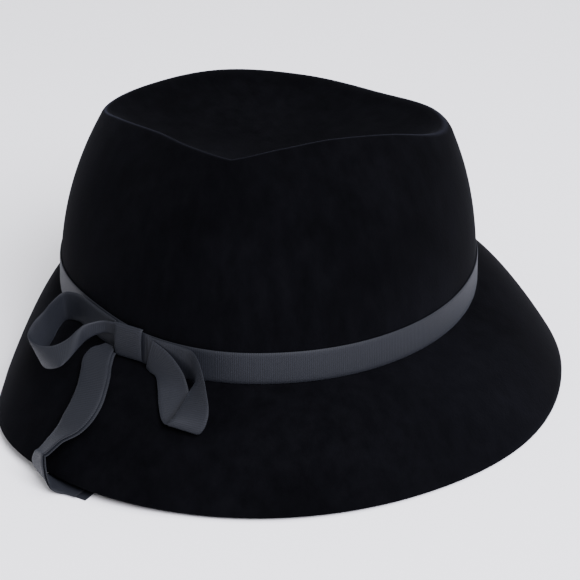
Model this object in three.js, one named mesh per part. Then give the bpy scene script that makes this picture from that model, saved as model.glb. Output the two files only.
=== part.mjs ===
// A woman's felt hat: black velour felt, crown and brim in one piece, with a teardrop dent in the
// crown, a brim turned down all round, a narrow ribbed ribbon band and a bow with two loops and
// two tails at the wearer's right of the front.
// Millimetres, +Z up, front towards -Y, the wearer's left towards +X. The hat rests on its brim's
// edge, and the origin is under the middle of the whole hat, on the surface it stands on.

import * as THREE from 'three';

// The felt
const headLength = 198;
const headWidth = 166;
const feltThickness = 2.2;
const breakHeight = 33;
const crownHeight = 78;
const brimReach = 46;
const ridgeReach = 71;
const dentDepth = 27;
const ridgeRound = 9;

// The ribbon
const ribbonWidth = 12.4;
const ribbonThickness = 1;
const clearance = 0.3;
const tailGap = 0.95;
const tailStep = ribbonThickness + tailGap;
// The lower tail is shifted by this share of the ribbon's width, and it starts and ends this many
// rows later and sooner than the upper one
const lowerTailAside = 0.08;
const lowerTailLate = 3;
const lowerTailShort = 7;

// How finely the felt and the bow's ribbons are divided
const samplesPerRow = 3;
const feltColumns = 64;
const brimRows = 6;
const sideRows = 8;
const ridgeRows = 3;
const dentRows = 6;

// The sections round the hat, from the front point of the crown towards the wearer's left.
// turn: degrees. brim: how far the brim stands out from its break, of brimReach. lift: height of
// the brim's edge above the surface, of breakHeight. fold: height of the break, of breakHeight.
// waist: the crown's foot, of the head's oval. ridge: how far the ridge is from the middle, of
// ridgeReach. top: the ridge's height above the break, of crownHeight. round: how rounded the
// ridge is, of ridgeRound.
const sections = [
  { turn: 0, brim: 0.995, lift: 0.04, fold: 0.965, waist: 1.0, ridge: 1.02, top: 1, round: 0.3 },
  { turn: 15, brim: 1.0, lift: 0.03, fold: 0.955, waist: 1.0, ridge: 0.915, top: 1.031, round: 0.3 },
  { turn: 35, brim: 0.985, lift: 0.015, fold: 0.935, waist: 1.0, ridge: 0.845, top: 1.046, round: 0.3 },
  { turn: 60, brim: 0.965, lift: 0, fold: 0.92, waist: 1.0, ridge: 0.88, top: 1.014, round: 0.4 },
  { turn: 90, brim: 0.83, lift: 0, fold: 0.925, waist: 1.0, ridge: 0.995, top: 0.905, round: 0.8 },
  { turn: 120, brim: 0.71, lift: 0, fold: 0.945, waist: 1.0, ridge: 1.005, top: 0.854, round: 0.8 },
  { turn: 150, brim: 0.81, lift: 0.02, fold: 0.98, waist: 1.0, ridge: 0.975, top: 0.803, round: 1.0 },
  { turn: 180, brim: 0.89, lift: 0.03, fold: 1.02, waist: 1.0, ridge: 0.98, top: 0.816, round: 1.0 },
  { turn: 210, brim: 0.77, lift: 0.02, fold: 1.05, waist: 1.0, ridge: 1.01, top: 0.837, round: 1.0 },
  { turn: 240, brim: 0.56, lift: 0, fold: 1.065, waist: 1.0, ridge: 1.005, top: 0.827, round: 0.8 },
  { turn: 270, brim: 0.38, lift: 0, fold: 1.06, waist: 1.01, ridge: 0.975, top: 0.847, round: 0.4 },
  { turn: 300, brim: 0.565, lift: 0, fold: 1.05, waist: 1.0, ridge: 0.88, top: 0.934, round: 0.3 },
  { turn: 325, brim: 0.985, lift: 0.1, fold: 1.04, waist: 0.975, ridge: 0.85, top: 0.974, round: 0.3 },
  { turn: 345, brim: 1.05, lift: 0.1, fold: 0.985, waist: 0.99, ridge: 0.925, top: 0.996, round: 0.3 },
];

// Shares of the profile, the same all round
const brimCrown = { out: 0.55, drop: 0.2 };
const sideBulge = 2.3;
const dentBend = 2.3;
const ridgeRaise = 0.35;
const underBreak = 0.8;
const underRidge = { in: 0.3, down: 1.65 };
const underBrim = { out: 0.5, down: 1.0 };
const underEdge = 1.4;

const radians = THREE.MathUtils.degToRad;

// A smooth value of one column at any turn. The crown's front point stays a point when pointed.
function around(column, turn, pointed = false) {
  const rows = [...sections, { ...sections[0], turn: 360 }];
  const last = rows.length - 1;
  const at = ((turn % 360) + 360) % 360;
  let k = 0;
  while (k < last - 1 && rows[k + 1].turn <= at) k += 1;
  const rise = (a, b) => (b[column] - a[column]) / (b.turn - a.turn);
  const before = { ...rows[last - 1], turn: rows[last - 1].turn - 360 };
  const slope = (i) => {
    if (i > 0 && i < last) return rise(rows[i - 1], rows[i + 1]);
    if (!pointed) return rise(before, rows[1]);
    return i === 0 ? rise(rows[0], rows[1]) : rise(rows[last - 1], rows[last]);
  };
  const span = rows[k + 1].turn - rows[k].turn;
  const s = (at - rows[k].turn) / span;
  const keep = 1 - 3 * s ** 2 + 2 * s ** 3;
  const leave = (s - 2 * s ** 2 + s ** 3) * span * slope(k);
  const arrive = (s ** 3 - s ** 2) * span * slope(k + 1);
  return keep * rows[k][column] + leave + (1 - keep) * rows[k + 1][column] + arrive;
}

// The sizes of one section, pulled in from the outer face by inset
function section(turn, inset) {
  const side = Math.sin(radians(turn)) / (headWidth / 2 + feltThickness);
  const front = Math.cos(radians(turn)) / (headLength / 2 + feltThickness);
  const foot = around('waist', turn) / Math.hypot(side, front);
  const fold = around('fold', turn) * breakHeight;
  const top = fold + around('top', turn, true) * crownHeight;
  const deep = breakHeight + crownHeight - dentDepth;
  return {
    edgeOut: foot + around('brim', turn) * brimReach,
    edgeUp: Math.max(0, around('lift', turn)) * breakHeight,
    foot: foot - inset,
    outerFoot: foot,
    fold: fold - inset * underBreak,
    outerFold: fold,
    ridgeOut: around('ridge', turn, true) * ridgeReach - inset * underRidge.in,
    ridgeUp: top - inset * underRidge.down,
    round: around('round', turn) * ridgeRound,
    floor: deep - inset,
  };
}

const mix = (a, b, s) => a + (b - a) * s;

// A point on a bent line from a to c that leans towards b
function bend(a, b, c, s) {
  return [0, 1].map((i) => mix(mix(a[i], b[i], s), mix(b[i], c[i], s), s));
}

// The crown's side at a height share up from the break, as distance out and height
function sideAt(cut, share) {
  const out = mix(cut.ridgeOut, cut.foot, 1 - share ** sideBulge);
  return [out, mix(cut.fold, cut.ridgeUp, share)];
}

// The dent's slope at a share of the way in from the ridge
function dentAt(cut, share) {
  const down = 1 - (1 - share) ** dentBend;
  return [cut.ridgeOut * (1 - share), mix(cut.ridgeUp, cut.floor, down)];
}

// One face of the felt in one section: brim, side, rounded ridge and dent, from edge to middle
function profile(turn, inset) {
  const cut = section(turn, inset);
  const reach = cut.edgeOut - cut.outerFoot;
  const drop = cut.outerFold - cut.edgeUp;
  const edge = [cut.edgeOut - inset * underEdge, cut.edgeUp];
  const crest = [
    cut.outerFoot + reach * brimCrown.out - inset * underBrim.out,
    cut.outerFold - drop * brimCrown.drop - inset * underBrim.down,
  ];
  const points = [];
  for (let i = 0; i < brimRows; i += 1) {
    points.push(bend(edge, crest, [cut.foot, cut.fold], i / brimRows));
  }
  const round = Math.max(cut.round - inset, ridgeRound / 10);
  const tall = cut.ridgeUp - cut.fold;
  const before = 1 - round / tall;
  const after = round / cut.ridgeOut;
  for (let i = 0; i < sideRows; i += 1) {
    points.push(sideAt(cut, (before * i) / sideRows));
  }
  const peak = [cut.ridgeOut, cut.ridgeUp + round * ridgeRaise];
  for (let i = 0; i <= ridgeRows; i += 1) {
    points.push(bend(sideAt(cut, before), peak, dentAt(cut, after), i / ridgeRows));
  }
  for (let i = 1; i < dentRows; i += 1) {
    points.push(dentAt(cut, mix(after, 1, i / dentRows)));
  }
  return points;
}

// A named mesh of one plain material, from its points and its triangles
function meshOf(points, faces, name, colour, roughness) {
  const geometry = new THREE.BufferGeometry();
  geometry.setAttribute('position', new THREE.Float32BufferAttribute(points.flat(), 3));
  geometry.setIndex(faces.flat());
  geometry.computeVertexNormals();
  const material = new THREE.MeshStandardMaterial({ color: colour, roughness, metalness: 0 });
  const mesh = new THREE.Mesh(geometry, material);
  mesh.name = name;
  return mesh;
}

const turned = ([out, up], turn) => [
  out * Math.sin(radians(turn)),
  -out * Math.cos(radians(turn)),
  up,
];

// The felt: an outer and an inner face, joined at the brim's edge and closed at the dent's middle
function feltBody() {
  const points = [];
  const faces = [];
  const faceRows = brimRows + sideRows + ridgeRows + dentRows;
  for (const inset of [0, feltThickness]) {
    for (let column = 0; column < feltColumns; column += 1) {
      const turn = (360 * column) / feltColumns;
      points.push(...profile(turn, inset).map((point) => turned(point, turn)));
    }
  }
  const middle = points.length;
  for (const inset of [0, feltThickness]) points.push([0, 0, section(0, inset).floor]);
  const at = (side, column, row) => (side * feltColumns + (column % feltColumns)) * faceRows + row;
  for (let column = 0; column < feltColumns; column += 1) {
    for (let row = 0; row < faceRows - 1; row += 1) {
      const corners = [[column, row], [column + 1, row], [column + 1, row + 1], [column, row + 1]];
      const [a, b, c, d] = corners.map((corner) => at(0, ...corner));
      const [e, f, g, h] = corners.map((corner) => at(1, ...corner));
      faces.push([a, b, c], [a, c, d], [e, g, f], [e, h, g]);
    }
    const last = faceRows - 1;
    faces.push([at(0, column, last), at(0, column + 1, last), middle]);
    faces.push([at(1, column + 1, last), at(1, column, last), middle + 1]);
    faces.push([at(1, column, 0), at(1, column + 1, 0), at(0, column + 1, 0)]);
    faces.push([at(1, column, 0), at(0, column + 1, 0), at(0, column, 0)]);
  }
  return meshOf(points, faces, 'felt_body', '#17171a', 0.95);
}

// The band: a flat ribbon ring that hugs the crown's foot
function bandAt(turn, up, off) {
  const cut = section(turn, 0);
  const [out] = sideAt(cut, (up * ribbonWidth) / (cut.ridgeUp - cut.fold));
  return turned([out + clearance + off, cut.fold + clearance + up * ribbonWidth], turn);
}

function ribbonBand() {
  const points = [];
  const faces = [];
  const levels = [0, 0.5, 1];
  const loop = levels.length * 2;
  for (let column = 0; column < feltColumns; column += 1) {
    const turn = (360 * column) / feltColumns;
    for (const up of levels) points.push(bandAt(turn, up, ribbonThickness));
    for (const up of [...levels].reverse()) points.push(bandAt(turn, up, 0));
  }
  const at = (column, row) => (column % feltColumns) * loop + (row % loop);
  for (let column = 0; column < feltColumns; column += 1) {
    for (let row = 0; row < loop; row += 1) {
      const [a, b] = [at(column, row), at(column + 1, row)];
      const [c, d] = [at(column + 1, row + 1), at(column, row + 1)];
      faces.push([a, b, c], [a, c, d]);
    }
  }
  return meshOf(points, faces, 'ribbon_band', '#2b2e33', 0.8);
}

// The bow's ribbons. Each row is a section of one ribbon, from its start to its end.
// turn: degrees, as above. along, away, rise: which way the ribbon's width points there, along the
// band, away from the crown and up. wide: how much of the ribbon's width is spread out.
// A row by the band has layer: how many ribbons lie under it. out: how far it stands off them, and
// up: its middle's height above the break, both of ribbonWidth.
// A row by the brim has share: how far out it is, of the brim's own reach there. over: how far it
// stands off the felt, of ribbonWidth. on: whether it is over the brim or on the surface under it.
const knotRows = [
  { turn: 338.9, layer: 1, out: -0.02, up: 1.1, along: 1, away: 0, rise: 0, wide: 1 },
  { turn: 338.9, layer: 1, out: 0.03, up: 1.07, along: 1, away: 0, rise: 0, wide: 1 },
  { turn: 338.9, layer: 1, out: 0.06, up: 0.98, along: 1, away: 0, rise: 0, wide: 1 },
  { turn: 338.9, layer: 1, out: 0.09, up: 0.55, along: 1, away: 0, rise: 0, wide: 1 },
  { turn: 338.9, layer: 1, out: 0.08, up: 0.14, along: 1, away: 0, rise: 0, wide: 1 },
  { turn: 338.9, layer: 1, out: 0.06, up: 0.07, along: 1, away: 0, rise: 0, wide: 1 },
];
const leftLoopRows = [
  { turn: 334.3, layer: 1, out: 0, up: 0.53, along: 0, away: 0, rise: 1, wide: 1 },
  { turn: 328, layer: 1, out: 0, up: 0.53, along: 0, away: 0, rise: 1, wide: 1 },
  { turn: 322, layer: 1, out: 0, up: 0.53, along: 0, away: 0, rise: 1, wide: 1 },
  { turn: 317, layer: 1, out: 0.06, up: 0.52, along: 0, away: 0.05, rise: 1, wide: 1 },
  { turn: 314.2, layer: 1, out: 0.27, up: 0.46, along: 0.05, away: 0.1, rise: 0.99, wide: 1 },
  { turn: 314.9, layer: 1, out: 0.62, up: 0.32, along: 0, away: 0.15, rise: 0.99, wide: 1 },
  { turn: 317.1, layer: 1, out: 1.05, up: 0.18, along: -0.12, away: 0.2, rise: 0.96, wide: 1 },
  { turn: 318.9, layer: 1, out: 1.5, up: 0.03, along: -0.33, away: 0.2, rise: 0.91, wide: 1 },
  { turn: 321.2, layer: 1, out: 1.88, up: -0.1, along: -0.55, away: 0.12, rise: 0.8, wide: 1 },
  { turn: 324.8, layer: 1, out: 2.08, up: 0, along: -0.84, away: -0.15, rise: 0.5, wide: 1 },
  { turn: 328.4, layer: 1, out: 2.1, up: 0.2, along: -0.87, away: -0.4, rise: 0.3, wide: 1 },
  { turn: 330.4, layer: 1, out: 1.96, up: 0.36, along: -0.8, away: -0.55, rise: 0.22, wide: 1 },
  { turn: 330.9, layer: 1, out: 1.62, up: 0.48, along: -0.68, away: -0.6, rise: 0.3, wide: 0.85 },
  { turn: 330.6, layer: 1, out: 1.22, up: 0.6, along: -0.5, away: -0.5, rise: 0.5, wide: 0.66 },
  { turn: 330, layer: 1, out: 0.82, up: 0.66, along: -0.25, away: -0.25, rise: 0.85, wide: 0.5 },
  { turn: 330.3, layer: 1, out: 0.47, up: 0.7, along: -0.05, away: 0, rise: 0.98, wide: 0.44 },
  { turn: 331.6, layer: 2, out: 0.12, up: 0.74, along: 0, away: 0.1, rise: 0.99, wide: 0.42 },
  { turn: 334.3, layer: 2, out: 0, up: 0.76, along: 0, away: 0, rise: 1, wide: 0.44 },
];
const rightLoopRows = [
  { turn: 344.3, layer: 1, out: 0, up: 0.53, along: 0, away: 0, rise: 1, wide: 1 },
  { turn: 348, layer: 1, out: 0, up: 0.53, along: 0, away: 0, rise: 1, wide: 1 },
  { turn: 352, layer: 1, out: 0.01, up: 0.53, along: 0, away: 0, rise: 1, wide: 1 },
  { turn: 355.2, layer: 1, out: 0.1, up: 0.53, along: 0, away: 0, rise: 1, wide: 1 },
  { turn: 357, layer: 1, out: 0.34, up: 0.48, along: 0.2, away: 0.3, rise: 0.93, wide: 1 },
  { turn: 357.9, layer: 1, out: 0.67, up: 0.36, along: 0.5, away: 0.6, rise: 0.62, wide: 1 },
  { turn: 358.4, layer: 1, out: 1.02, up: 0.2, along: 0.68, away: 0.6, rise: 0.36, wide: 1 },
  { turn: 358.6, layer: 1, out: 1.34, up: 0, along: 0.85, away: 0.45, rise: 0.2, wide: 1 },
  { turn: 358.4, layer: 1, out: 1.64, up: -0.23, along: 0.97, away: 0.2, rise: 0.04, wide: 1 },
  { turn: 357.8, layer: 1, out: 1.83, up: -0.46, along: 0.97, away: 0, rise: -0.15, wide: 1 },
  { turn: 356.9, layer: 1, out: 1.84, up: -0.62, along: 0.97, away: 0, rise: -0.2, wide: 1 },
  { turn: 355.7, layer: 1, out: 1.6, up: -0.6, along: 0.98, away: 0, rise: -0.1, wide: 1 },
  { turn: 354.2, layer: 1, out: 1.14, up: -0.37, along: 0.99, away: -0.04, rise: -0.04, wide: 1 },
  { turn: 352.7, layer: 1, out: 0.64, up: -0.09, along: 1, away: 0, rise: 0, wide: 1 },
  { turn: 350.7, layer: 1, out: 0.26, up: 0.17, along: 0.9, away: 0.1, rise: 0.35, wide: 1 },
  { turn: 347.6, layer: 2, out: 0.06, up: 0.36, along: 0.65, away: 0, rise: 0.76, wide: 1 },
  { turn: 344.9, layer: 2, out: 0.02, up: 0.5, along: 0.25, away: 0, rise: 0.97, wide: 1 },
];
const tailRows = [
  { turn: 333.1, share: 0.055, over: 0.15, on: 'brim', along: 1, away: -0.07, rise: -0.08, wide: 0.3 },
  { turn: 332.9, share: 0.075, over: 0.11, on: 'brim', along: 1, away: -0.05, rise: 0, wide: 0.5 },
  { turn: 332.5, share: 0.095, over: 0.07, on: 'brim', along: 0.99, away: 0, rise: 0.05, wide: 0.7 },
  { turn: 332.2, share: 0.13, over: 0.05, on: 'brim', along: 1, away: -0.04, rise: 0.07, wide: 0.85 },
  { turn: 332.8, share: 0.21, over: 0.01, on: 'brim', along: 1, away: -0.08, rise: 0.05, wide: 1 },
  { turn: 334.8, share: 0.31, over: 0, on: 'brim', along: 0.99, away: -0.1, rise: 0.1, wide: 1 },
  { turn: 336.3, share: 0.41, over: 0, on: 'brim', along: 0.99, away: -0.07, rise: 0.13, wide: 1 },
  { turn: 337.3, share: 0.52, over: 0.01, on: 'brim', along: 0.99, away: -0.1, rise: 0.12, wide: 1 },
  { turn: 337.7, share: 0.63, over: 0.07, on: 'brim', along: 0.99, away: -0.02, rise: 0.11, wide: 1 },
  { turn: 337.7, share: 0.73, over: 0.18, on: 'brim', along: 0.95, away: 0.24, rise: 0.2, wide: 1 },
  { turn: 336.8, share: 0.81, over: 0.27, on: 'brim', along: 0.82, away: 0.5, rise: 0.3, wide: 1 },
  { turn: 335.9, share: 0.91, over: 0.35, on: 'brim', along: 0.77, away: 0.53, rise: 0.34, wide: 1 },
  { turn: 335.7, share: 1.02, over: 0.93, on: 'table', along: 0.78, away: 0.51, rise: 0.36, wide: 1 },
  { turn: 335.9, share: 1.05, over: 0.73, on: 'table', along: 0.83, away: 0.44, rise: 0.35, wide: 1 },
  { turn: 336.4, share: 1.06, over: 0.52, on: 'table', along: 0.82, away: 0.49, rise: 0.32, wide: 1 },
  { turn: 337.1, share: 1.06, over: 0.31, on: 'table', along: 0.75, away: 0.6, rise: 0.28, wide: 1 },
  { turn: 338.2, share: 1.02, over: 0.11, on: 'table', along: 0.5, away: 0.84, rise: 0.14, wide: 1 },
  { turn: 339.8, share: 0.94, over: 0.02, on: 'table', along: 0.2, away: 0.98, rise: 0.02, wide: 1 },
  { turn: 341.6, share: 0.9, over: 0.002, on: 'table', along: 0, away: 1, rise: 0, wide: 1 },
  { turn: 343.2, share: 0.89, over: 0.002, on: 'table', along: 0, away: 1, rise: 0, wide: 1 },
  { turn: 344.6, share: 0.888, over: 0.002, on: 'table', along: 0, away: 1, rise: 0, wide: 1 },
];
// The brim's height at a distance out from the crown's foot
function brimUp(turn, off) {
  const cut = section(turn, 0);
  const reach = cut.edgeOut - cut.outerFoot;
  const drop = cut.outerFold - cut.edgeUp;
  const near = reach * brimCrown.out;
  const bow = reach - 2 * near;
  const share = THREE.MathUtils.clamp(off / reach, 0, 1);
  const s = (Math.sqrt(near ** 2 + bow * share * reach) - near) / bow;
  const crest = [near, cut.outerFold - drop * brimCrown.drop];
  return bend([0, cut.outerFold], crest, [reach, cut.edgeUp], s)[1];
}

// Where a row's middle lies
function rowMiddle(row) {
  const cut = section(row.turn, 0);
  const step = ribbonThickness + clearance;
  if (row.on === undefined) {
    const off = clearance + row.layer * step + ribbonThickness / 2 + row.out * ribbonWidth;
    return turned([cut.foot + off, cut.fold + row.up * ribbonWidth], row.turn);
  }
  const off = row.share * (cut.edgeOut - cut.outerFoot);
  const half = ribbonThickness / 2;
  if (row.on === 'table') return turned([cut.foot + off, half + row.over * ribbonWidth], row.turn);
  const lifted = clearance + tailStep + half + row.over * ribbonWidth;
  const fall = brimUp(row.turn, off + ribbonThickness) - brimUp(row.turn, off - ribbonThickness);
  const slope = fall / (2 * ribbonThickness);
  const long = Math.hypot(slope, 1);
  const up = brimUp(row.turn, off) + lifted / long;
  return turned([cut.foot + off - (lifted * slope) / long, up], row.turn);
}

// Which way a row's width points
function rowAcross(row) {
  const a = radians(row.turn);
  const across = new THREE.Vector3(
    row.along * Math.cos(a) + row.away * Math.sin(a),
    row.along * Math.sin(a) - row.away * Math.cos(a),
    row.rise,
  );
  return across.normalize().multiplyScalar(row.wide);
}

// A ribbon swept through its rows, as one closed flat strip. below: how much lower it lies than
// its rows say. aside: how far it is shifted along its own width, of ribbonWidth
function ribbonStrip(name, rows, below = 0, aside = 0) {
  const path = new THREE.CatmullRomCurve3(rows.map((row) => new THREE.Vector3(...rowMiddle(row))));
  const across = new THREE.CatmullRomCurve3(rows.map(rowAcross));
  const points = [];
  const faces = [];
  const steps = (rows.length - 1) * samplesPerRow;
  for (let i = 0; i <= steps; i += 1) {
    const s = i / steps;
    const width = across.getPoint(s);
    const spread = width.length();
    width.normalize();
    const normal = path.getTangent(s).cross(width).normalize();
    const middle = path.getPoint(s);
    middle.addScaledVector(normal, -below);
    middle.addScaledVector(width, aside * ribbonWidth);
    for (const [side, face] of [[-1, 1], [1, 1], [1, -1], [-1, -1]]) {
      const corner = middle.clone();
      corner.addScaledVector(width, (side * spread * ribbonWidth) / 2);
      corner.addScaledVector(normal, (face * ribbonThickness) / 2);
      points.push(corner.toArray());
    }
  }
  for (let i = 0; i < steps; i += 1) {
    for (let side = 0; side < 4; side += 1) {
      const next = (side + 1) % 4;
      const [a, b, c, d] = [i * 4 + side, i * 4 + next, i * 4 + 4 + next, i * 4 + 4 + side];
      faces.push([a, c, b], [a, d, c]);
    }
  }
  const end = steps * 4;
  faces.push([0, 1, 2], [0, 2, 3], [end, end + 2, end + 1], [end, end + 3, end + 2]);
  return meshOf(points, faces, name, '#34373c', 0.8);
}

const hat = new THREE.Group();
hat.add(
  feltBody(),
  ribbonBand(),
  ribbonStrip('bow_knot', knotRows),
  ribbonStrip('bow_loop_left', leftLoopRows),
  ribbonStrip('bow_loop_right', rightLoopRows),
  ribbonStrip('bow_tail_upper', tailRows),
  ribbonStrip('bow_tail_lower', tailRows.slice(lowerTailLate, -lowerTailShort), tailStep, lowerTailAside),
);

const box = new THREE.Box3().setFromObject(hat);
const centre = box.getCenter(new THREE.Vector3());
hat.position.set(-centre.x, -centre.y, -box.min.z);

export default hat;
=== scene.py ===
import math

import bpy
import numpy as np
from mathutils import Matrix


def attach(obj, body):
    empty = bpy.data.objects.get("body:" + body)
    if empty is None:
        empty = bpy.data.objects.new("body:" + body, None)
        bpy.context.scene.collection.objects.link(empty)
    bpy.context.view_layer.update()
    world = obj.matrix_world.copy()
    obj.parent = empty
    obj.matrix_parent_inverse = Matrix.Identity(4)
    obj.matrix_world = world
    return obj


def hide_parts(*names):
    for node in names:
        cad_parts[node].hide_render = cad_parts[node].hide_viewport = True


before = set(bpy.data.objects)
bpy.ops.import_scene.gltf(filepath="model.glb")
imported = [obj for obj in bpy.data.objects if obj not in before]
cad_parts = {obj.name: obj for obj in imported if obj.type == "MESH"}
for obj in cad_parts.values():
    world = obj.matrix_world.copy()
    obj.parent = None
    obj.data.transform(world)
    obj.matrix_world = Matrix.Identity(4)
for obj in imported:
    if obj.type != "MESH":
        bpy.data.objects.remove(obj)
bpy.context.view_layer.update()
scene = bpy.context.scene


# FELT BODY. The hat is one piece of black velour felt: fur felt blocked wet over a wooden form,
# pressed by hand into a teardrop dent and a turned-down brim, then brushed up so that its fur
# stands as a short, dense nap. No lining or sweatband shows, so the inside is plain felt too.

MM = 0.001
# From the middle of the head's oval to the middle of the whole hat, which is the origin
hat_shift = (-10.254, 2.415, 0.0)

head_length = 198.0
head_width = 166.0
felt_thickness = 2.2
break_height = 33.0
crown_height = 78.0
brim_reach = 46.0
ridge_reach = 71.0
dent_depth = 27.0
ridge_round = 9.0
ridge_least_round = ridge_round / 10

# Sections round the hat from the crown's front point towards the wearer's left. turn: degrees.
# brim: how far the brim stands out, of brim_reach. lift and fold: heights of the brim's edge and
# of its break, of break_height. waist: the crown's foot, of the oval. ridge: how far out the ridge
# is, of ridge_reach. top: its height above the break, of crown_height. round: of ridge_round.
section_columns = ("turn", "brim", "lift", "fold", "waist", "ridge", "top", "round")
section_rows = (
    (0, 0.995, 0.04, 0.965, 1.0, 1.02, 1, 0.3),
    (15, 1.0, 0.03, 0.955, 1.0, 0.915, 1.031, 0.3),
    (35, 0.985, 0.015, 0.935, 1.0, 0.845, 1.046, 0.3),
    (60, 0.965, 0, 0.92, 1.0, 0.88, 1.014, 0.4),
    (90, 0.83, 0, 0.925, 1.0, 0.995, 0.905, 0.8),
    (120, 0.71, 0, 0.945, 1.0, 1.005, 0.854, 0.8),
    (150, 0.81, 0.02, 0.98, 1.0, 0.975, 0.803, 1.0),
    (180, 0.89, 0.03, 1.02, 1.0, 0.98, 0.816, 1.0),
    (210, 0.77, 0.02, 1.05, 1.0, 1.01, 0.837, 1.0),
    (240, 0.56, 0, 1.065, 1.0, 1.005, 0.827, 0.8),
    (270, 0.38, 0, 1.06, 1.01, 0.975, 0.847, 0.4),
    (300, 0.565, 0, 1.05, 1.0, 0.88, 0.934, 0.3),
    (325, 0.985, 0.1, 1.04, 0.975, 0.85, 0.974, 0.3),
    (345, 1.05, 0.1, 0.985, 0.99, 0.925, 0.996, 0.3),
    (360, 0.995, 0.04, 0.965, 1.0, 1.02, 1, 0.3),
)
crest_out, crest_drop = 0.55, 0.2
side_bulge = 2.3
dent_bend = 2.3
ridge_raise = 0.35
under_break = 0.8
under_ridge_in, under_ridge_down = 0.3, 1.65
under_brim_out, under_brim_down = 0.5, 1.0
under_edge = 1.4


def around(name, turn, pointed=False):
    """A smooth value of one column at any turn; the front point stays a point when pointed."""
    column = section_columns.index(name)
    rows = section_rows
    last = len(rows) - 1
    at = turn % 360
    k = max(i for i in range(last) if rows[i][0] <= at)

    def rise(a, b):
        return (b[column] - a[column]) / (b[0] - a[0])

    def slope(i):
        if 0 < i < last:
            return rise(rows[i - 1], rows[i + 1])
        if pointed:
            return rise(rows[0], rows[1]) if i == 0 else rise(rows[last - 1], rows[last])
        before = (rows[last - 1][0] - 360,) + rows[last - 1][1:]
        return rise(before, rows[1])

    span = rows[k + 1][0] - rows[k][0]
    s = (at - rows[k][0]) / span
    keep = 1 - 3 * s**2 + 2 * s**3
    leave = (s - 2 * s**2 + s**3) * span * slope(k)
    arrive = (s**3 - s**2) * span * slope(k + 1)
    return keep * rows[k][column] + leave + (1 - keep) * rows[k + 1][column] + arrive


def section(turn, inset=0.0):
    """The sizes of one section of the felt, pulled in from its outer face by inset."""
    a = math.radians(turn)
    side = math.sin(a) / (head_width / 2 + felt_thickness)
    front = math.cos(a) / (head_length / 2 + felt_thickness)
    foot = around("waist", turn) / math.hypot(side, front)
    fold = around("fold", turn) * break_height
    top = fold + around("top", turn, True) * crown_height
    return {
        "edge_out": foot + around("brim", turn) * brim_reach,
        "edge_up": max(0.0, around("lift", turn)) * break_height,
        "foot": foot - inset,
        "outer_foot": foot,
        "fold": fold - inset * under_break,
        "outer_fold": fold,
        "ridge_out": around("ridge", turn, True) * ridge_reach - inset * under_ridge_in,
        "ridge_up": top - inset * under_ridge_down,
        "round": around("round", turn) * ridge_round,
        "floor": break_height + crown_height - dent_depth - inset,
    }


def mix(a, b, s):
    return a + (b - a) * s


def bend(a, b, c, s):
    """A point on a bent line from a to c that leans towards b."""
    return tuple(mix(mix(p, q, s), mix(q, r, s), s) for p, q, r in zip(a, b, c))


def side_at(cut, share):
    out = mix(cut["ridge_out"], cut["foot"], 1 - share**side_bulge)
    return out, mix(cut["fold"], cut["ridge_up"], share)


def dent_at(cut, share):
    down = 1 - (1 - share) ** dent_bend
    return cut["ridge_out"] * (1 - share), mix(cut["ridge_up"], cut["floor"], down)


felt_columns = 320
brim_rows, side_rows, ridge_rows, dent_rows = 22, 34, 12, 24
lip_rows = 4
# Rings to each side of the ridge over which its painted highlight line fades
painted_highlight_fade = 2
lip_height = 0.7


def felt_profile(turn, inset):
    """One face of the felt in one section, from the lip of the brim to near the dent's middle."""
    cut = section(turn, inset)
    reach = cut["edge_out"] - cut["outer_foot"]
    drop = cut["outer_fold"] - cut["edge_up"]
    edge = (cut["edge_out"] - inset * under_edge, cut["edge_up"])
    crest = (
        cut["outer_foot"] + reach * crest_out - inset * under_brim_out,
        cut["outer_fold"] - drop * crest_drop - inset * under_brim_down,
    )
    middle = cut["edge_out"] - felt_thickness * under_edge / 2
    lift = lip_height / (2 * max(crest[1] - edge[1], lip_height))
    start = bend(edge, crest, (cut["foot"], cut["fold"]), lift)
    points = []
    for i in range(lip_rows):
        a = math.pi / 2 * i / lip_rows
        points.append(
            (mix(middle, start[0], math.sin(a)), mix(edge[1], start[1], 1 - math.cos(a)))
        )
    for i in range(brim_rows):
        s = mix(lift, 1, i / brim_rows)
        points.append(bend(edge, crest, (cut["foot"], cut["fold"]), s))
    rounded = max(cut["round"] - inset, ridge_least_round)
    before = 1 - rounded / (cut["ridge_up"] - cut["fold"])
    after = rounded / cut["ridge_out"]
    for i in range(side_rows):
        points.append(side_at(cut, before * i / side_rows))
    peak = (cut["ridge_out"], cut["ridge_up"] + rounded * ridge_raise)
    for i in range(ridge_rows + 1):
        points.append(bend(side_at(cut, before), peak, dent_at(cut, after), i / ridge_rows))
    for i in range(1, dent_rows):
        points.append(dent_at(cut, mix(after, 1, i / dent_rows)))
    return points


def turned(point, turn):
    """A point at a distance out and a height, as metres in the part's frame."""
    a = math.radians(turn)
    x, y, z = point[0] * math.sin(a), -point[0] * math.cos(a), point[1]
    return tuple((v + s) * MM for v, s in zip((x, y, z), hat_shift))


def mesh_piece(name, points, faces, material, attributes=()):
    """A smooth shaded object at the origin, with its place in its mesh."""
    mesh = bpy.data.meshes.new(name)
    mesh.from_pydata([tuple(p) for p in points], [], faces)
    mesh.materials.append(material)
    mesh.polygons.foreach_set("use_smooth", [True] * len(mesh.polygons))
    for title, values in dict(attributes).items():
        layer = mesh.attributes.new(title, "FLOAT", "POINT")
        layer.data.foreach_set("value", np.asarray(values, dtype=np.float32))
    mesh.update()
    piece = bpy.data.objects.new(name, mesh)
    scene.collection.objects.link(piece)
    return piece


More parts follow.
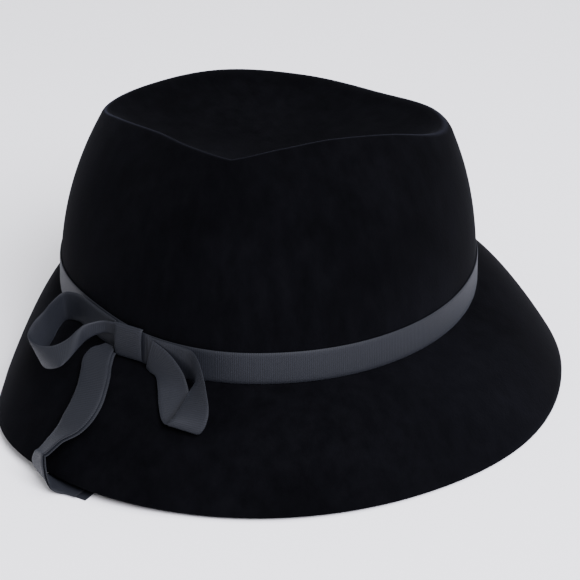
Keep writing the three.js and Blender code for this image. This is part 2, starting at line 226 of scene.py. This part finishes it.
def felt_mesh():
    """The outer and inner faces, which share the lip's lowest ring, closed at the dent."""
    points = []
    faces = []
    outer, inner = [], []
    for column in range(felt_columns):
        turn = 360 * column / felt_columns
        outer.append([turned(p, turn) for p in felt_profile(turn, 0.0)])
        inner.append([turned(p, turn) for p in felt_profile(turn, felt_thickness)])
    rows = len(outer[0])
    rings = [[inner[c][r] for c in range(felt_columns)] for r in range(rows - 1, 0, -1)]
    rings += [[outer[c][r] for c in range(felt_columns)] for r in range(rows)]
    for ring in rings:
        points.extend(ring)
    for r in range(len(rings) - 1):
        for c in range(felt_columns):
            d = (c + 1) % felt_columns
            a, b = r * felt_columns + c, r * felt_columns + d
            faces.append((a, b, b + felt_columns, a + felt_columns))
    low, high = len(points), len(points) + 1
    points.append(turned((0, section(0, felt_thickness)["floor"]), 0))
    points.append(turned((0, section(0, 0.0)["floor"]), 0))
    top = (len(rings) - 1) * felt_columns
    for c in range(felt_columns):
        d = (c + 1) % felt_columns
        faces.append((d, c, low))
        faces.append((top + c, top + d, high))
    return points, faces


def hexed(text, alpha=1.0):
    """An sRGB hex colour as linear numbers."""
    parts = [int(text[i : i + 2], 16) / 255 for i in (1, 3, 5)]
    linear = [p / 12.92 if p <= 0.04045 else ((p + 0.055) / 1.055) ** 2.4 for p in parts]
    return (*linear, alpha)


def add(tree, kind, links=(), **settings):
    """Adds a node with its settings, and sets or links its inputs."""
    node = tree.nodes.new(kind)
    for name, value in settings.items():
        setattr(node, name, value)
    for socket, value in dict(links).items():
        if isinstance(value, bpy.types.NodeSocket):
            tree.links.new(value, node.inputs[socket])
        else:
            node.inputs[socket].default_value = value
    return node


# Where on the brim a patch of extra sheen is painted, a painted highlight, and how far from there
# it fades out, in metres
painted_sheen_at = (0.078, -0.080, 0.018)
painted_sheen_reach = 0.065

# Velour: a fur felt whose dense nap drinks nearly all light and gives a faint cool bloom where it
# is seen along its fibres. Brushing leaves soft patches about 4 cm across and finer streaks.
velour = bpy.data.materials.new("velour_felt_brushed")
velour.use_nodes = True
tree = velour.node_tree
tree.nodes.clear()
place = add(tree, "ShaderNodeTexCoord")
patches = add(
    tree,
    "ShaderNodeTexNoise",
    {"Vector": place.outputs["Object"], "Scale": 1 / 0.042, "Detail": 3.0, "Roughness": 0.55},
)
stretched = add(
    tree,
    "ShaderNodeMapping",
    {"Vector": place.outputs["Object"], "Rotation": (0.3, 0.5, 0.6), "Scale": (1.0, 1.0, 0.35)},
)
streaks = add(
    tree,
    "ShaderNodeTexNoise",
    {"Vector": stretched.outputs[0], "Scale": 1 / 0.006, "Detail": 4.0, "Roughness": 0.6},
)
nap = add(
    tree,
    "ShaderNodeTexNoise",
    {"Vector": place.outputs["Object"], "Scale": 1 / 0.0011, "Detail": 2.0, "Roughness": 0.6},
)
blotch = add(
    tree,
    "ShaderNodeMath",
    {0: patches.outputs[0], 1: streaks.outputs[0]},
    operation="MULTIPLY",
)
shade = add(tree, "ShaderNodeValToRGB", {0: blotch.outputs[0]})
shade.color_ramp.elements[0].position = 0.14
shade.color_ramp.elements[0].color = hexed("#020203")
shade.color_ramp.elements[1].position = 0.42
shade.color_ramp.elements[1].color = hexed("#050507")
# A patch of extra sheen is painted on the brim's front at the wearer's left, a painted highlight
spot = add(
    tree,
    "ShaderNodeMapping",
    {
        "Vector": place.outputs["Object"],
        "Location": tuple(-c / painted_sheen_reach for c in painted_sheen_at),
        "Scale": (1 / painted_sheen_reach,) * 3,
    },
)
# The sphere that shapes the painted highlight patch on the brim
painted_patch_ball = add(tree, "ShaderNodeTexGradient", {"Vector": spot.outputs[0]}, gradient_type="SPHERICAL")
sheen_with_painted_patch = add(
    tree,
    "ShaderNodeMapRange",
    {"Value": painted_patch_ball.outputs["Fac"], "To Min": 0.012, "To Max": 0.1},
)
# Along the crown's ridge a thin line of extra sheen is painted, a painted highlight
ridge_highlight_mask = add(tree, "ShaderNodeAttribute", attribute_name="ridge")
sheen_with_painted_highlights = add(
    tree,
    "ShaderNodeMath",
    {0: ridge_highlight_mask.outputs["Fac"], 1: 0.09, 2: sheen_with_painted_patch.outputs[0]},
    operation="MULTIPLY_ADD",
)
uneven = add(
    tree,
    "ShaderNodeBump",
    {"Height": streaks.outputs[0], "Strength": 0.15, "Distance": 0.0006},
)
pile = add(
    tree,
    "ShaderNodeBump",
    {
        "Height": nap.outputs[0],
        "Strength": 0.35,
        "Distance": 0.0004,
        "Normal": uneven.outputs[0],
    },
)
skin = add(
    tree,
    "ShaderNodeBsdfPrincipled",
    {
        "Base Color": shade.outputs[0],
        "Roughness": 0.95,
        "IOR": 1.45,
        "Specular IOR Level": 0.03,
        "Sheen Weight": sheen_with_painted_highlights.outputs[0],
        "Sheen Roughness": 0.45,
        "Sheen Tint": hexed("#8f93ad"),
        "Normal": pile.outputs[0],
    },
)
add(tree, "ShaderNodeOutputMaterial", {"Surface": skin.outputs[0]})

felt = mesh_piece("felt_body_velour", *felt_mesh(), velour)
rings = len(felt.data.vertices) // felt_columns
profile_rows = (rings + 1) // 2
ridge_ring = profile_rows - 1 + lip_rows + brim_rows + side_rows + ridge_rows // 2
# The ridge attribute marks a painted highlight: extra sheen along the crown's ridge line
ridge = felt.data.attributes.new("ridge", "FLOAT", "POINT")
for i in range(rings * felt_columns):
    away = abs(i // felt_columns - ridge_ring)
    ridge.data[i].value = max(0.0, 1 - away / painted_highlight_fade)
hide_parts("felt_body")
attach(felt, "root")


# RIBBON BAND. A half-inch grosgrain ribbon of dark slate rayon, woven with a thick weft that makes
# ribs straight across it, and laid flat round the crown's foot. It is joined under the bow.

ribbon_width = 12.4
ribbon_thickness = 0.5
cad_thickness = 1.0
clearance = 0.3
# Real ribs are about 0.7 mm apart; these are drawn a little coarser so that they show
rib_spacing = 0.8
rib_height = 0.06
steps_per_rib = 4
across_steps = 10
# The woven edge: how thin it is, and how far its fold stands out, of the ribbon's half width
edge_thin = 0.55
edge_out = 1.02

# Rayon grosgrain: smooth bright threads packed over a fat weft. Its base colour is painted lighter
# on each rib's crown and darker in the grooves between, a painted highlight and painted shade,
# with random tone from the threads.
grosgrain = bpy.data.materials.new("grosgrain_rayon_slate")
grosgrain.use_nodes = True
tree = grosgrain.node_tree
tree.nodes.clear()
along = add(tree, "ShaderNodeAttribute", attribute_name="along")
across = add(tree, "ShaderNodeAttribute", attribute_name="across")
ribs = add(
    tree,
    "ShaderNodeMath",
    {0: along.outputs["Fac"], 1: math.pi / (rib_spacing * MM)},
    operation="MULTIPLY",
)
crowns = add(tree, "ShaderNodeMath", {0: ribs.outputs[0]}, operation="SINE")
height = add(tree, "ShaderNodeMath", {0: crowns.outputs[0]}, operation="ABSOLUTE")
place = add(
    tree,
    "ShaderNodeCombineXYZ",
    {"X": along.outputs["Fac"], "Y": across.outputs["Fac"]},
)
threads = add(
    tree,
    "ShaderNodeTexNoise",
    {"Vector": place.outputs[0], "Scale": 260.0, "Detail": 3.0, "Roughness": 0.7},
)
rib_relief_and_painted_shade = add(
    tree,
    "ShaderNodeMath",
    {0: height.outputs[0], 1: threads.outputs[0]},
    operation="MULTIPLY",
)
# Base colour: the ribs' painted shade and painted highlight, mixed with the threads' random tone
dye_and_painted_rib_shade = add(tree, "ShaderNodeValToRGB", {0: rib_relief_and_painted_shade.outputs[0]})
dye_and_painted_rib_shade.color_ramp.elements[0].position = 0.05
dye_and_painted_rib_shade.color_ramp.elements[0].color = hexed("#0f1013")
dye_and_painted_rib_shade.color_ramp.elements[1].position = 0.55
dye_and_painted_rib_shade.color_ramp.elements[1].color = hexed("#17191f")
weave = add(
    tree,
    "ShaderNodeBump",
    {"Height": rib_relief_and_painted_shade.outputs[0], "Strength": 0.35, "Distance": 0.0001},
)
skin = add(
    tree,
    "ShaderNodeBsdfPrincipled",
    {
        "Base Color": dye_and_painted_rib_shade.outputs[0],
        "Roughness": 0.62,
        "IOR": 1.47,
        "Specular IOR Level": 0.2,
        "Sheen Weight": 0.05,
        "Sheen Roughness": 0.4,
        "Sheen Tint": hexed("#aab2c8"),
        "Normal": weave.outputs[0],
    },
)
add(tree, "ShaderNodeOutputMaterial", {"Surface": skin.outputs[0]})

# The tree that weaves the ribs: each point moves out along its normal by the rib's height there,
# less towards the ribbon's two woven edges.
ribs_tree = bpy.data.node_groups.new("grosgrain_ribs", "GeometryNodeTree")
face = ribs_tree.interface
face.new_socket("Geometry", in_out="INPUT", socket_type="NodeSocketGeometry")
spacing_in = face.new_socket("Rib spacing", in_out="INPUT", socket_type="NodeSocketFloat")
height_in = face.new_socket("Rib height", in_out="INPUT", socket_type="NodeSocketFloat")
cloth_in = face.new_socket("Cloth", in_out="INPUT", socket_type="NodeSocketMaterial")
face.new_socket("Geometry", in_out="OUTPUT", socket_type="NodeSocketGeometry")
given = add(ribs_tree, "NodeGroupInput")
where = add(ribs_tree, "GeometryNodeInputNamedAttribute", {"Name": "along"}, data_type="FLOAT")
beside = add(ribs_tree, "GeometryNodeInputNamedAttribute", {"Name": "across"}, data_type="FLOAT")
count = add(
    ribs_tree,
    "ShaderNodeMath",
    {0: where.outputs[0], 1: given.outputs["Rib spacing"]},
    operation="DIVIDE",
)
angle = add(ribs_tree, "ShaderNodeMath", {0: count.outputs[0], 1: math.pi}, operation="MULTIPLY")
wave = add(ribs_tree, "ShaderNodeMath", {0: angle.outputs[0]}, operation="SINE")
crown = add(ribs_tree, "ShaderNodeMath", {0: wave.outputs[0]}, operation="ABSOLUTE")
edge = add(ribs_tree, "ShaderNodeMath", {0: beside.outputs[0]}, operation="ABSOLUTE")
inside = add(
    ribs_tree,
    "ShaderNodeMapRange",
    {"Value": edge.outputs[0], "From Min": 0.86, "From Max": 1.0, "To Min": 1.0, "To Max": 0.35},
)
raised = add(
    ribs_tree,
    "ShaderNodeMath",
    {0: crown.outputs[0], 1: inside.outputs[0]},
    operation="MULTIPLY",
)
tall = add(
    ribs_tree,
    "ShaderNodeMath",
    {0: raised.outputs[0], 1: given.outputs["Rib height"]},
    operation="MULTIPLY",
)
normal = add(ribs_tree, "GeometryNodeInputNormal")
offset = add(
    ribs_tree,
    "ShaderNodeVectorMath",
    {0: normal.outputs[0], "Scale": tall.outputs[0]},
    operation="SCALE",
)
moved = add(
    ribs_tree,
    "GeometryNodeSetPosition",
    {"Geometry": given.outputs["Geometry"], "Offset": offset.outputs[0]},
)
real = add(ribs_tree, "GeometryNodeRealizeInstances", {"Geometry": moved.outputs[0]})
dressed = add(
    ribs_tree,
    "GeometryNodeSetMaterial",
    {"Geometry": real.outputs[0], "Material": given.outputs["Cloth"]},
)
add(ribs_tree, "NodeGroupOutput", {"Geometry": dressed.outputs[0]})


def applied(piece, tree, values):
    """Runs a node tree on a piece, with its inputs by identifier, and keeps the plain mesh."""
    modifier = piece.modifiers.new("made", "NODES")
    modifier.node_group = tree
    for socket, value in values:
        modifier[socket.identifier] = value
    graph = bpy.context.evaluated_depsgraph_get()
    mesh = bpy.data.meshes.new_from_object(piece.evaluated_get(graph))
    piece.modifiers.remove(modifier)
    mesh.name = piece.name
    piece.data = mesh
    return piece


def strip_mesh(places, widths, normals, closed):
    """A thin strip along places, ribbon wide, and how far each point is along and across it."""
    count = len(places)
    lengths = np.linalg.norm(np.diff(places, axis=0), axis=1)
    travelled = np.concatenate([[0.0], np.cumsum(lengths)])
    shares = np.linspace(-1, 1, across_steps + 1)
    half = ribbon_thickness / 2
    loop = [(s, half) for s in shares] + [(edge_out, 0.0)]
    loop += [(s, -half) for s in shares[::-1]] + [(-edge_out, 0.0)]
    points, along_values, across_values = [], [], []
    for i in range(count):
        for share, off in loop:
            thin = edge_thin if abs(share) > 0.99 else 1.0
            side = widths[i] * (share * ribbon_width / 2)
            points.append(places[i] + side + normals[i] * (off * thin))
            along_values.append(travelled[i] * MM)
            across_values.append(share)
    size = len(loop)
    faces = []
    for i in range(count if closed else count - 1):
        j = (i + 1) % count
        for k in range(size):
            m = (k + 1) % size
            faces.append((i * size + k, i * size + m, j * size + m, j * size + k))
    if not closed:
        faces.append(tuple(range(size))[::-1])
        faces.append(tuple((count - 1) * size + k for k in range(size)))
    metres = (np.array(points) + np.array(hat_shift)) * MM
    return metres, faces, {"along": along_values, "across": across_values}


def ribbon_piece(name, places, widths, normals, closed=False):
    points, faces, attributes = strip_mesh(places, widths, normals, closed)
    piece = mesh_piece(name, points, faces, grosgrain, attributes)
    wanted = (
        (spacing_in, rib_spacing * MM),
        (height_in, rib_height * MM),
        (cloth_in, grosgrain),
    )
    applied(piece, ribs_tree, wanted)
    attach(piece, "root")
    return piece


band_off = 0.15
ribs_round_band = 620
band_steps = ribs_round_band * steps_per_rib


def band_ring():
    places, widths, normals = [], [], []
    for i in range(band_steps):
        turn = 360 * i / band_steps
        a = math.radians(turn)
        cut = section(turn)
        low = side_at(cut, 0.0)
        high = side_at(cut, ribbon_width / (cut["ridge_up"] - cut["fold"]))
        out = (low[0] + high[0]) / 2
        lean = math.atan2(high[0] - low[0], ribbon_width)
        off = band_off + ribbon_thickness / 2
        r = out + off
        z = cut["fold"] + clearance + ribbon_width / 2
        places.append((r * math.sin(a), -r * math.cos(a), z))
        widths.append(
            (math.sin(lean) * math.sin(a), -math.sin(lean) * math.cos(a), math.cos(lean))
        )
        normals.append(
            (math.cos(lean) * math.sin(a), -math.cos(lean) * math.cos(a), -math.sin(lean))
        )
    return np.array(places), np.array(widths), np.array(normals)


band_places, band_widths, band_normals = band_ring()
band = ribbon_piece("ribbon_band_grosgrain", band_places, -band_widths, band_normals, True)
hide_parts("ribbon_band")


# BOW. The same ribbon, folded into two open loops and two cut tails, held on the band by a short
# wrap of ribbon sewn behind. Each part is a strip swept through the rows of its table.

# turn: degrees. layer: how many ribbons lie under it. out: how far it stands off them, and up: its
# middle's height above the break, of ribbon_width. along, away, rise: which way the width points.
# The tails' rows have share, how far out on the brim, over, and whether they lie over the brim or
# on the table: over is the height above that, of ribbon_width. wide: how much of the width is
# spread out. The knot's rows leave it out, because all of its width is.
knot_rows = (
    (338.9, 1, -0.02, 1.1, 1, 0, 0),
    (338.9, 1, 0.03, 1.07, 1, 0, 0),
    (338.9, 1, 0.06, 0.98, 1, 0, 0),
    (338.9, 1, 0.09, 0.55, 1, 0, 0),
    (338.9, 1, 0.08, 0.14, 1, 0, 0),
    (338.9, 1, 0.06, 0.07, 1, 0, 0),
)
left_loop_rows = (
    (334.3, 1, 0, 0.53, 0, 0, 1, 1),
    (328, 1, 0, 0.53, 0, 0, 1, 1),
    (322, 1, 0, 0.53, 0, 0, 1, 1),
    (317, 1, 0.06, 0.52, 0, 0.05, 1, 1),
    (314.2, 1, 0.27, 0.46, 0.05, 0.1, 0.99, 1),
    (314.9, 1, 0.62, 0.32, 0, 0.15, 0.99, 1),
    (317.1, 1, 1.05, 0.18, -0.12, 0.2, 0.96, 1),
    (318.9, 1, 1.5, 0.03, -0.33, 0.2, 0.91, 1),
    (321.2, 1, 1.88, -0.1, -0.55, 0.12, 0.8, 1),
    (324.8, 1, 2.08, 0, -0.84, -0.15, 0.5, 1),
    (328.4, 1, 2.1, 0.2, -0.87, -0.4, 0.3, 1),
    (330.4, 1, 1.96, 0.36, -0.8, -0.55, 0.22, 1),
    (330.9, 1, 1.62, 0.48, -0.68, -0.6, 0.3, 0.85),
    (330.6, 1, 1.22, 0.6, -0.5, -0.5, 0.5, 0.66),
    (330, 1, 0.82, 0.66, -0.25, -0.25, 0.85, 0.5),
    (330.3, 1, 0.47, 0.7, -0.05, 0, 0.98, 0.44),
    (331.6, 2, 0.12, 0.74, 0, 0.1, 0.99, 0.42),
    (334.3, 2, 0, 0.76, 0, 0, 1, 0.44),
)
right_loop_rows = (
    (344.3, 1, 0, 0.53, 0, 0, 1, 1),
    (348, 1, 0, 0.53, 0, 0, 1, 1),
    (352, 1, 0.01, 0.53, 0, 0, 1, 1),
    (355.2, 1, 0.1, 0.53, 0, 0, 1, 1),
    (357, 1, 0.34, 0.48, 0.2, 0.3, 0.93, 1),
    (357.9, 1, 0.67, 0.36, 0.5, 0.6, 0.62, 1),
    (358.4, 1, 1.02, 0.2, 0.68, 0.6, 0.36, 1),
    (358.6, 1, 1.34, 0, 0.85, 0.45, 0.2, 1),
    (358.4, 1, 1.64, -0.23, 0.97, 0.2, 0.04, 1),
    (357.8, 1, 1.83, -0.46, 0.97, 0, -0.15, 1),
    (356.9, 1, 1.84, -0.62, 0.97, 0, -0.2, 1),
    (355.7, 1, 1.6, -0.6, 0.98, 0, -0.1, 1),
    (354.2, 1, 1.14, -0.37, 0.99, -0.04, -0.04, 1),
    (352.7, 1, 0.64, -0.09, 1, 0, 0, 1),
    (350.7, 1, 0.26, 0.17, 0.9, 0.1, 0.35, 1),
    (347.6, 2, 0.06, 0.36, 0.65, 0, 0.76, 1),
    (344.9, 2, 0.02, 0.5, 0.25, 0, 0.97, 1),
)
tail_rows = (
    (333.1, 0.055, 0.15, "brim", 1, -0.07, -0.08, 0.3),
    (332.9, 0.075, 0.11, "brim", 1, -0.05, 0, 0.5),
    (332.5, 0.095, 0.07, "brim", 0.99, 0, 0.05, 0.7),
    (332.2, 0.13, 0.05, "brim", 1, -0.04, 0.07, 0.85),
    (332.8, 0.21, 0.01, "brim", 1, -0.08, 0.05, 1),
    (334.8, 0.31, 0, "brim", 0.99, -0.1, 0.1, 1),
    (336.3, 0.41, 0, "brim", 0.99, -0.07, 0.13, 1),
    (337.3, 0.52, 0.01, "brim", 0.99, -0.1, 0.12, 1),
    (337.7, 0.63, 0.07, "brim", 0.99, -0.02, 0.11, 1),
    (337.7, 0.73, 0.18, "brim", 0.95, 0.24, 0.2, 1),
    (336.8, 0.81, 0.27, "brim", 0.82, 0.5, 0.3, 1),
    (335.9, 0.91, 0.35, "brim", 0.77, 0.53, 0.34, 1),
    (335.8, 1.02, 0.96, "table", 0.78, 0.51, 0.36, 1),
    (335.9, 1.05, 0.73, "table", 0.83, 0.44, 0.35, 1),
    (336.4, 1.06, 0.52, "table", 0.82, 0.49, 0.32, 1),
    (337, 1.05, 0.3, "table", 0.75, 0.6, 0.28, 1),
    (338.2, 1.0, 0.1, "table", 0.5, 0.84, 0.14, 1),
    (339.8, 0.94, 0.02, "table", 0.2, 0.98, 0.02, 1),
    (341.6, 0.9, 0.002, "table", 0, 1, 0, 1),
    (343.2, 0.89, 0.002, "table", 0, 1, 0, 1),
    (344.6, 0.888, 0.002, "table", 0, 1, 0, 1),
)
cad_step = cad_thickness + clearance
# Near the band the thin ribbon lies this much nearer the crown than the thick solid does
snug = 0.85
snug_until = 0.3
# The upper tail's least height over the brim and over the table, and how far the lower tail lies
# under it and beside it, and how many rows it leaves out at its start and at its end
tail_lift = 1.45
table_lift = 0.3
tail_step = 0.85
lower_tail_aside = 0.08
lower_tail_late = 2
lower_tail_short = 1
fine_steps_per_row = 30


def unturned(out, up, turn):
    a = math.radians(turn)
    return np.array((out * math.sin(a), -out * math.cos(a), up))


def across_at(turn, along_share, away, rise, wide=1.0):
    a = math.radians(turn)
    v = np.array(
        (
            along_share * math.cos(a) + away * math.sin(a),
            along_share * math.sin(a) - away * math.cos(a),
            rise,
        )
    )
    return v / np.linalg.norm(v) * wide


def by_band(row):
    turn, layer, out, up = row[:4]
    cut = section(turn)
    tight = snug * layer * max(0.0, 1 - out / snug_until)
    off = clearance + layer * cad_step + cad_thickness / 2 + out * ribbon_width - tight
    return unturned(cut["foot"] + off, cut["fold"] + up * ribbon_width, turn)


def brim_up(turn, off):
    cut = section(turn)
    reach = cut["edge_out"] - cut["outer_foot"]
    drop = cut["outer_fold"] - cut["edge_up"]
    near = reach * crest_out
    bow = reach - 2 * near
    share = min(max(off / reach, 0.0), 1.0)
    s = (math.sqrt(near**2 + bow * share * reach) - near) / bow
    crest = (near, cut["outer_fold"] - drop * crest_drop)
    return bend((0, cut["outer_fold"]), crest, (reach, cut["edge_up"]), s)[1]


def by_brim(row):
    turn, share, over, lies_on = row[:4]
    cut = section(turn)
    off = share * (cut["edge_out"] - cut["outer_foot"])
    if lies_on == "table":
        return unturned(cut["foot"] + off, table_lift + over * ribbon_width, turn)
    lifted = tail_lift + over * ribbon_width
    slope = (brim_up(turn, off + 1) - brim_up(turn, off - 1)) / 2
    long = math.hypot(slope, 1)
    up = brim_up(turn, off) + lifted / long
    return unturned(cut["foot"] + off - lifted * slope / long, up, turn)


def smooth_path(rows, share):
    """A point at a share of the way through rows, on a centripetal curve that passes them all."""
    rows = np.asarray(rows, dtype=float)
    last = len(rows) - 1
    k = min(int(share * last), last - 1)
    s = share * last - k
    a, b = rows[k], rows[k + 1]
    before = rows[k - 1] if k > 0 else 2 * a - b
    after = rows[k + 2] if k + 2 <= last else 2 * b - a
    d0, d1, d2 = (
        max(float(np.linalg.norm(q - p)) ** 0.5, 1e-4)
        for p, q in ((before, a), (a, b), (b, after))
    )
    t1 = ((a - before) / d0 - (b - before) / (d0 + d1) + (b - a) / d1) * d1
    t2 = ((b - a) / d1 - (after - a) / (d1 + d2) + (after - b) / d2) * d1
    keep = 1 - 3 * s**2 + 2 * s**3
    return keep * a + (s - 2 * s**2 + s**3) * t1 + (1 - keep) * b + (s**3 - s**2) * t2


def swept(middles, acrosses, below=0.0, aside=0.0):
    """Even steps of places, widths and normals along a ribbon, and how long it is."""
    fine = fine_steps_per_row * (len(middles) - 1)
    path = np.array([smooth_path(middles, i / fine) for i in range(fine + 1)])
    wide = np.array([smooth_path(acrosses, i / fine) for i in range(fine + 1)])
    travelled = np.concatenate([[0], np.cumsum(np.linalg.norm(np.diff(path, axis=0), axis=1))])
    steps = int(round(travelled[-1] / rib_spacing)) * steps_per_rib
    even = np.linspace(0, travelled[-1], steps + 1)
    path = np.stack([np.interp(even, travelled, path[:, i]) for i in range(3)], axis=1)
    wide = np.stack([np.interp(even, travelled, wide[:, i]) for i in range(3)], axis=1)
    ahead = np.gradient(path, axis=0)
    spread = np.linalg.norm(wide, axis=1, keepdims=True)
    widths = wide / spread
    normals = np.cross(ahead, widths)
    normals /= np.linalg.norm(normals, axis=1, keepdims=True)
    places = path - normals * below + widths * (aside * ribbon_width)
    return places, widths * spread, normals, float(travelled[-1])


def bow_part(name, node, middles, acrosses, below=0.0, aside=0.0):
    places, widths, normals, length = swept(middles, acrosses, below, aside)
    piece = ribbon_piece(name, places, -widths, normals)
    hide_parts(node)
    return piece


knot_middles = [by_band(r) for r in knot_rows]
knot_across = [across_at(r[0], *r[4:]) for r in knot_rows]
left_middles = [by_band(r) for r in left_loop_rows]
left_across = [across_at(r[0], *r[4:]) for r in left_loop_rows]
right_middles = [by_band(r) for r in right_loop_rows]
right_across = [across_at(r[0], *r[4:]) for r in right_loop_rows]
tail_middles = [by_brim(r) for r in tail_rows]
tail_across = [across_at(r[0], *r[4:]) for r in tail_rows]

bow_part("bow_knot_wrap", "bow_knot", knot_middles, knot_across)
bow_part(
    "bow_loop_left_grosgrain", "bow_loop_left", left_middles, left_across
)
bow_part(
    "bow_loop_right_grosgrain", "bow_loop_right", right_middles, right_across
)
bow_part(
    "bow_tail_lower_grosgrain",
    "bow_tail_lower",
    tail_middles[lower_tail_late:-lower_tail_short],
    tail_across[lower_tail_late:-lower_tail_short],
    tail_step,
    lower_tail_aside,
)
bow_part(
    "bow_tail_upper_grosgrain", "bow_tail_upper", tail_middles, tail_across
)


# FLOOR, LIGHT AND CAMERA. A plain pale floor under soft studio light, mostly from above and from
# the front right, and a camera that stands where the photograph's did.

floor_size = 6.0
paper = bpy.data.materials.new("pale_floor_matt")
paper.use_nodes = True
tree = paper.node_tree
tree.nodes.clear()
skin = add(
    tree,
    "ShaderNodeBsdfPrincipled",
    {"Base Color": hexed("#fcfbfd"), "Roughness": 0.9, "Specular IOR Level": 0.1},
)
add(tree, "ShaderNodeOutputMaterial", {"Surface": skin.outputs[0]})
half = floor_size / 2
corners = [(-half, -half, 0), (half, -half, 0), (half, half, 0), (-half, half, 0)]
floor = mesh_piece("floor", corners, [(0, 1, 2, 3)], paper)

world = bpy.data.worlds.new("studio")
world.use_nodes = True
world.node_tree.nodes["Background"].inputs["Color"].default_value = hexed("#f4f5fa")
world.node_tree.nodes["Background"].inputs["Strength"].default_value = 0.8
scene.world = world

# place, aim, size across, watts, colour
lamps = {
    "key": ((1.2, -1.3, 1.6), (0.0, 0.0, 0.05), 1.7, 170.0, "#f4f4ff"),
    "fill": ((-1.5, -0.9, 0.9), (0.0, 0.0, 0.05), 1.2, 2.0, "#fff8f0"),
    "top": ((0.3, 0.5, 1.8), (0.0, 0.0, 0.05), 1.6, 14.0, "#ffffff"),
}
for name, (spot, aim, size, watts, tint) in lamps.items():
    lamp = bpy.data.lights.new(name, "AREA")
    lamp.shape = "DISK"
    lamp.size = size
    lamp.energy = watts
    lamp.color = hexed(tint)[:3]
    holder = bpy.data.objects.new(name, lamp)
    holder.location = spot
    toward = np.array(aim) - np.array(spot)
    holder.rotation_euler = (
        math.acos(-toward[2] / np.linalg.norm(toward)),
        0.0,
        math.atan2(toward[1], toward[0]) - math.pi / 2,
    )
    scene.collection.objects.link(holder)

camera_azimuth = 11.75
camera_elevation = 24.2
camera_distance = 0.8
camera_height = 0.035
azimuth, elevation = math.radians(camera_azimuth), math.radians(camera_elevation)
eye = bpy.data.cameras.new("camera")
eye.lens = 118.66
eye.sensor_width = 36.0
eye.shift_x = 0.0328
eye.shift_y = -0.0436
camera = bpy.data.objects.new("camera", eye)
camera.location = (
    hat_shift[0] * MM + camera_distance * math.sin(azimuth) * math.cos(elevation),
    hat_shift[1] * MM - camera_distance * math.cos(azimuth) * math.cos(elevation),
    camera_height + camera_distance * math.sin(elevation),
)
camera.rotation_euler = (math.pi / 2 - elevation, 0.0, azimuth)
scene.collection.objects.link(camera)
scene.camera = camera
